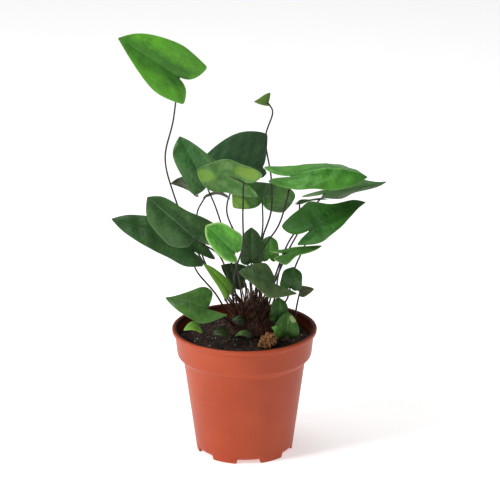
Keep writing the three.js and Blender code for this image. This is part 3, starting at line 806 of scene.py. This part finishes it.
def build_blade(node, look, seed):
    middle = blade_middle(node)
    grid = lengthened(middle)
    last = grid.shape[1] - 1
    half = last // 2
    span = np.linalg.norm(middle[0, 0] - middle[0, -1])
    soft = min(6.0, 0.16 * span + 1.0)
    corners = np.stack([grid[0, 0], grid[0, last]])
    weight = np.exp(-(nearest(grid, corners) / soft) ** 2)
    grid = relaxed(grid, weight, 26)
    rib_line = grid[:, half]
    rib = nearest(grid, rib_line)
    grid = relaxed(grid, 0.8 * np.exp(-(rib / 1.3) ** 2), 6)
    rib_line = grid[:, half]
    rib = nearest(grid, rib_line)
    margin = nearest(grid, outline_of(grid))
    normal = normals_of(grid)

    steps = np.linalg.norm(np.diff(rib_line, axis=0), axis=1)
    along = np.concatenate([[0], np.cumsum(steps)])
    rows = np.linalg.norm(np.diff(grid, axis=1), axis=2)
    sideways = np.concatenate([np.zeros((len(grid), 1)), np.cumsum(rows, axis=1)], axis=1)
    sideways -= sideways[:, half:half + 1]
    run = np.broadcast_to(along[:, None], sideways.shape)
    share = run / along[-1]

    veins = np.sin((run - 0.75 * abs(sideways)) * 2 * math.pi / look["vein_gap"])
    inner = np.clip(margin / 3.0, 0, 1) * np.clip(rib / 2.0, 0, 1)
    rise = look["swell"] * waves(grid, seed) * np.clip(margin / 4 + 0.3, 0, 1)
    rise += look["pucker"] * waves(grid, seed + 50, 6, 4.5, 2.5) * inner
    rise += 0.035 * veins * inner
    rise += look["curl"] * np.exp(-(margin / look["curl_reach"]) ** 2)
    groove = np.exp(-(rib / 0.55) ** 2) * np.clip((1 - share) * 4, 0, 1)
    thick = 0.17 * np.clip(0.35 + margin / 1.4, 0, 1)
    top = grid + normal * (rise - 0.22 * groove + thick)[..., None]
    under = grid + normal * (rise - 0.34 * groove - thick)[..., None]

    count = grid.shape[0] * grid.shape[1]
    at = np.arange(count).reshape(grid.shape[:2])
    faces = []
    for i in range(grid.shape[0] - 1):
        for j in range(last):
            quad = (at[i, j], at[i, j + 1], at[i + 1, j + 1], at[i + 1, j])
            faces.append(quad)
            faces.append(tuple(index + count for index in reversed(quad)))
    loop = list(at[0]) + list(at[1:, -1]) + list(at[-1, -2::-1]) + list(at[-2:0:-1, 0])
    for a, b in zip(loop, loop[1:] + loop[:1]):
        faces.append((b, a, a + count, b + count))
    points = np.concatenate([top.reshape(-1, 3), under.reshape(-1, 3)]) * MM
    piece = mesh_piece(node.replace("blade_", "leaf_"), points, faces)
    store(piece, "side", [1.0] * count + [0.0] * count)
    measures = {"margin": margin, "rib": rib, "run": share, "sideways": sideways, "length": run}
    for name, values in measures.items():
        store(piece, name, np.concatenate([values.ravel(), values.ravel()]))
    joint = {"place": rib_line[0], "ahead": rib_line[3:14:3], "down": -normal[:14, half]}
    return piece, joint


def leaf_finish(name, look):
    """A blade's two faces: the satin green upper one and the greyer, matt underside, and a painted
    highlight along the margin.
    """
    finish = Finish(name, Roughness=look["rough"], IOR=1.45, Specular_IOR_Level=0.35)
    finish.surface.inputs["Sheen Weight"].default_value = look["sheen"]
    finish.surface.inputs["Sheen Roughness"].default_value = 0.35
    side, margin, rib = finish.stored("side"), finish.stored("margin"), finish.stored("rib")
    run, sideways, length = finish.stored("run"), finish.stored("sideways"), finish.stored("length")
    flat = finish.node("ShaderNodeCombineXYZ", {}, {"X": sideways, "Y": length})
    blotch = finish.noise(0.13, flat, detail=3.0)
    fleck = finish.noise(1.1, flat, detail=4.0, roughness=0.65)
    band = (rib + (blotch - 0.5) * 9.0).between(look["band"] * 0.4, look["band"] * 1.8)
    colour = finish.mixed(band, rgb(*look["inner"]), rgb(*look["outer"]))
    slant = (length - abs(sideways) * 0.75) * (1 / look["vein_gap"]) + (fleck - 0.5) * 0.25
    lines = 1 - abs(slant - slant.joined("ROUND", slant)).between(0.0, 0.14)
    colour = finish.mixed(lines * look["veins"], colour, rgb(*look["rib"]))
    flecks = fleck.between(0.35, 0.7) * look["fleck"]
    colour = finish.mixed(flecks, colour, rgb(*look["outer"]), "SCREEN")
    cloud = (blotch * 0.6 + fleck * 0.4).between(0.40, 0.62)
    shade = finish.mixed(cloud, (0.84, 0.84, 0.84, 1), (1.1, 1.1, 1.06, 1))
    colour = finish.mixed(1.0, colour, shade, "MULTIPLY")
    rib_line = (1 - rib.between(0.15, 0.6)) * (1 - run.between(0.75, 1.0))
    colour = finish.mixed(rib_line * look["rib_show"], colour, rgb(*look["rib"]))
    under_two = look.get("under_two", look["under"])
    below = finish.mixed(blotch.between(0.42, 0.60), rgb(*look["under"]), rgb(*under_two))
    below = finish.mixed(lines * 0.18, below, rgb(60, 70, 44))
    stem = (1 - rib.between(0.25, 0.8)) * (1 - run.between(look["stem"] * 0.3, look["stem"]))
    below = finish.mixed(stem, below, rgb(52, 30, 20))
    colour = finish.mixed(side.between(0.4, 0.6), below, colour)
    for middle_run, middle_side, size, tint, strength in look["patches"]:
        off_run, off_side = (length - middle_run) * (1 / size), (sideways - middle_side) * (1 / size)
        spot = (off_run * off_run + off_side * off_side) ** 0.5 + (blotch - 0.5) * 0.9
        colour = finish.mixed((1 - spot.between(0.55, 1.0)) * strength, colour, rgb(*tint))
    # Painted highlight: a paler band along the margin, on both faces.
    edge = 1 - margin.between(0.1, look["edge_highlight_reach"])
    colour = finish.mixed(edge * look["edge_highlight"], colour, rgb(*look["edge"]))
    tip = run.between(0.955, 0.99) * (1 - rib.between(0.8, 2.2))
    colour = finish.mixed(tip * look["tip_show"], colour, rgb(70, 56, 32))
    finish.feed(Base_Color=colour)
    finish.feed(Roughness=look["rough"] + (fleck - 0.5) * 0.16 + (1 - side) * 0.12)
    wrinkles = finish.cells(0.45, flat) + fleck * 0.7
    finish.bump(wrinkles, 0.00022 * look["wrinkle"], 0.55)
    return finish.material


PLAIN = {                       # lengths in millimetres, shares from 0 to 1
    "rough": 0.42, "sheen": 0.02, "wrinkle": 1.0,
    "band": 5.0, "vein_gap": 3.4, "veins": 0.10, "fleck": 0.16, "rib_show": 0.22,
    "edge_highlight_reach": 0.9, "edge_highlight": 0.22, "tip_show": 0.6, "stem": 0.35,
    "swell": 0.32, "pucker": 0.10, "curl": -0.35, "curl_reach": 1.6,
    "patches": (),              # run from the stalk, distance to one side, size, colour, strength
}
# Each family's edge colour is the painted highlight along the margin.
GREEN = {
    "bright": dict(inner=(62, 122, 36), outer=(92, 166, 44), under=(110, 150, 80),
                   edge=(150, 196, 92), rib=(84, 140, 56)),
    "mid": dict(inner=(48, 98, 34), outer=(68, 122, 46), under=(88, 122, 70),
                edge=(126, 160, 92), rib=(108, 146, 82)),
    "dark": dict(inner=(34, 72, 26), outer=(46, 88, 34), under=(74, 98, 60),
                 edge=(92, 122, 70), rib=(90, 124, 74)),
    "olive": dict(inner=(66, 86, 36), outer=(88, 106, 48), under=(94, 104, 72),
                  edge=(140, 150, 90), rib=(120, 130, 70)),
    "lime": dict(inner=(92, 140, 42), outer=(112, 160, 54), under=(128, 156, 84),
                 edge=(176, 200, 110), rib=(130, 168, 78)),
}
looks = {
    "high_left": ("bright", dict(band=7.0, veins=0.05, rib_show=0.15, edge_highlight=0.3)),
    "bud": ("olive", dict(inner=(92, 124, 52), outer=(106, 134, 70))),
    "back_dark": ("dark", dict(
        inner=(40, 78, 42), outer=(50, 84, 50), wrinkle=2.4, fleck=0.3, rough=0.5)),
    "left_upright": ("mid", dict(inner=(48, 98, 44), outer=(66, 108, 56), rib_show=0.25)),
    "centre_underside": ("mid", dict(
        under=(64, 110, 44), under_two=(90, 130, 66), edge=(150, 180, 120), stem=0.5,
        patches=((28, 5, 8, (122, 168, 66), 0.8), (8, -12, 9, (116, 150, 52), 0.8)))),
    "left_back": ("mid", dict(under=(76, 90, 66), under_two=(88, 92, 74))),
    "left_inner": ("olive", dict(under=(84, 84, 66), under_two=(96, 88, 66))),
    "centre_back": ("mid", dict(
        inner=(40, 82, 26), outer=(58, 100, 36),
        patches=((3, -20, 7, (112, 152, 50), 0.8), (8, -26, 6, (104, 146, 48), 0.7)))),
    "right_top": ("bright", dict(
        inner=(58, 128, 34), outer=(78, 146, 48), rib=(130, 190, 90), rib_show=0.8, sheen=0.3)),
    "right_thin": ("mid", dict(outer=(96, 124, 84), under=(104, 132, 96))),
    "right_under": ("dark", dict(under=(92, 102, 78), under_two=(104, 98, 80))),
    "right_mid": ("mid", dict(
        inner=(30, 86, 12), outer=(44, 100, 22), rib=(84, 130, 56), rough=0.55, wrinkle=0.4)),
    "right_curl": ("bright", dict(
        inner=(64, 116, 44), outer=(80, 128, 56), edge=(170, 200, 130), edge_highlight=0.8)),
    "centre_round": ("bright", dict(inner=(64, 118, 44), outer=(80, 124, 50))),
    "front_centre": ("mid", dict(inner=(60, 88, 46), outer=(80, 102, 60), rib=(110, 130, 88))),
    "front_right": ("dark", dict(inner=(46, 84, 34), outer=(54, 92, 42))),
    "withered": ("olive", dict(
        inner=(70, 78, 50), outer=(62, 58, 42), under=(88, 82, 64), swell=0.9, pucker=0.35)),
    "left_big": ("dark", dict(inner=(40, 78, 34), outer=(58, 94, 50), veins=0.2)),
    "left_upper": ("mid", dict(
        inner=(42, 80, 36), outer=(68, 104, 56), rib_show=0.45, rib=(118, 152, 100))),
    "left_young": ("lime", dict(inner=(96, 144, 44), outer=(124, 170, 60))),
    "front_bright": ("bright", dict(
        inner=(70, 140, 44), outer=(94, 172, 58), edge=(186, 220, 140), edge_highlight=0.8,
        edge_highlight_reach=1.8, rib=(60, 112, 40), rib_show=0.6)),
    # The patch on left_low near its stalk is a painted highlight.
    "left_low": ("mid", dict(
        inner=(58, 98, 38), outer=(70, 112, 46), patches=((2, 9, 4, (104, 160, 62), 0.6),))),
    "low_bright": ("lime", dict()),
    "soil_left": ("dark", dict(inner=(40, 52, 14), outer=(50, 64, 20))),
    "soil_front": ("dark", dict(inner=(48, 74, 24), outer=(60, 90, 34))),
    "low_upright": ("dark", dict(inner=(46, 80, 30), outer=(56, 92, 42))),
    "low_heart": ("mid", dict(
        inner=(50, 88, 28), outer=(66, 102, 42), patches=((14, 4, 3, (160, 180, 116), 0.8),))),
    "low_small": ("bright", dict()),
    "centre_dark": ("dark", dict(inner=(40, 68, 30), outer=(46, 76, 34))),
    "inner_left": ("dark", dict()),
    "inner_low": ("dark", dict(inner=(32, 56, 24), outer=(40, 62, 28))),
}
joints = {}
for seed, (name, (family, changes)) in enumerate(looks.items()):
    look = {**PLAIN, **GREEN[family], **changes}
    leaf, joints[name] = build_blade("blade_" + name, look, seed)
    leaf.data.materials.append(leaf_finish("blade " + name.replace("_", " "), look))
    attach(leaf, "root")
    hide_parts("blade_" + name)


# ---- Stalks ------------------------------------------------------------------------------------
# Wiry, polished, almost black stalks a little over a millimetre thick. Each rises from the crown
# and runs on as a raised rib under the first part of its blade.

def stalk_line(node):
    """The middle of each ring of a CAD stalk, from its root up, in millimetres."""
    points, triangles = merged(node)
    points = points / MM
    edges = {tuple(sorted(pair)) for a, b, c in triangles for pair in ((a, b), (b, c), (c, a))}
    ring_of = list(range(len(points)))

    def ring(n):
        while ring_of[n] != n:
            n = ring_of[n]
        return n

    for a, b in edges:
        if np.linalg.norm(points[a] - points[b]) < 0.8:
            ring_of[ring(a)] = ring(b)
    members, next_to = {}, {}
    for n in range(len(points)):
        members.setdefault(ring(n), []).append(n)
    for a, b in edges:
        if ring(a) != ring(b):
            next_to.setdefault(ring(a), set()).add(ring(b))
            next_to.setdefault(ring(b), set()).add(ring(a))
    centre = {r: points[m].mean(axis=0) for r, m in members.items()}
    ends = sorted((r for r in centre if len(next_to[r]) == 1), key=lambda r: centre[r][2])
    line, before = [ends[0]], None
    while True:
        onward = [r for r in next_to[line[-1]] if r != before]
        if not onward:
            break
        before = line[-1]
        line.append(onward[0])
    return np.array([centre[r] for r in line])


def build_stalk(name):
    line = stalk_line("stalk_" + name)
    joint = joints[name]
    heading = line[0] - line[1]
    heading /= np.linalg.norm(heading)
    root = line[0] + heading * 4.0
    under = joint["ahead"] + joint["down"][3:14:3] * 0.45
    top = joint["place"] + joint["down"][0] * 0.5
    path = spline_weights(len(line) + 1, 5) @ np.concatenate([[root], line])
    path = np.concatenate([path[:-3], [top], under])
    count = len(path)
    ribs = len(under)
    radii = np.linspace(0.76, 0.58, count)
    radii[-ribs:] = np.linspace(0.46, 0.16, ribs)
    points, faces = tube(path * MM, radii * MM, 8)
    return mesh_piece("wire_" + name, points, faces)


def stalk_finish():
    finish = Finish("wiry stalk", Roughness=0.3, IOR=1.5)
    height = finish.node("ShaderNodeSeparateXYZ", {}, {0: finish.place()}, output="Z")
    scales = finish.noise(500.0, detail=3.0)
    colour = finish.mixed(scales.between(0.4, 0.7), rgb(16, 10, 9), rgb(44, 27, 21))
    colour = finish.mixed((1 - height.between(0.09, 0.13)) * 0.6, colour, rgb(64, 38, 25))
    finish.feed(Base_Color=colour, Roughness=0.28 + scales * 0.2)
    finish.bump(scales, 0.0001, 0.5)
    return finish.material


polish = stalk_finish()
for name in looks:
    if "stalk_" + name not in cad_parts:
        continue
    stalk = build_stalk(name)
    stalk.data.materials.append(polish)
    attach(stalk, "root")
    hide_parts("stalk_" + name)


# ---- Floor, light and camera -------------------------------------------------------------------
# A plain white floor, one large soft light from the upper left, another overhead and a weak fill
# from the right.

def build_floor():
    reach = 4.0
    corners = [(-reach, -reach, 0), (reach, -reach, 0), (reach, reach, 0), (-reach, reach, 0)]
    floor = mesh_piece("floor", corners, [(0, 1, 2, 3)])
    finish = Finish("white sweep", Roughness=0.9)
    tone = finish.noise(3.0, detail=1.0)
    finish.feed(Base_Color=finish.mixed(tone * 0.1, (0.93, 0.93, 0.93, 1), (0.90, 0.90, 0.90, 1)))
    finish.surface.inputs["Emission Color"].default_value = (1, 1, 1, 1)
    finish.surface.inputs["Emission Strength"].default_value = 0.52
    floor.data.materials.append(finish.material)


def soft_light(name, place, target, size, power, colour=(1, 1, 1)):
    data = bpy.data.lights.new(name, "AREA")
    data.shape = "DISK"
    data.size = size
    data.energy = power
    data.color = colour
    light = bpy.data.objects.new(name, data)
    light.location = place
    light.rotation_euler = (Vector(target) - Vector(place)).to_track_quat("-Z", "Y").to_euler()
    bpy.context.scene.collection.objects.link(light)


def build_camera():
    data = bpy.data.cameras.new("front camera")
    data.sensor_width = 36.0
    data.lens = 158.83
    camera = bpy.data.objects.new("front camera", data)
    camera.location = (0.004, -1.5, 0.640)
    camera.rotation_euler = (math.radians(71.95), 0, 0)
    bpy.context.scene.collection.objects.link(camera)
    bpy.context.scene.camera = camera


build_floor()
build_camera()
soft_light("key", (-1.5, -0.8, 1.2), (0, 0, 0.16), 0.6, 27)
soft_light("fill", (1.2, -1.4, 0.8), (0, 0, 0.16), 1.2, 0.6)
soft_light("top", (-0.1, 0.2, 1.9), (0, 0, 0.2), 1.0, 11)
world = bpy.data.worlds.new("studio")
bpy.context.scene.world = world
world.use_nodes = True
world.node_tree.nodes["Background"].inputs["Color"].default_value = (1, 1, 1, 1)
world.node_tree.nodes["Background"].inputs["Strength"].default_value = 0.24
bpy.context.scene.view_settings.view_transform = "Standard"
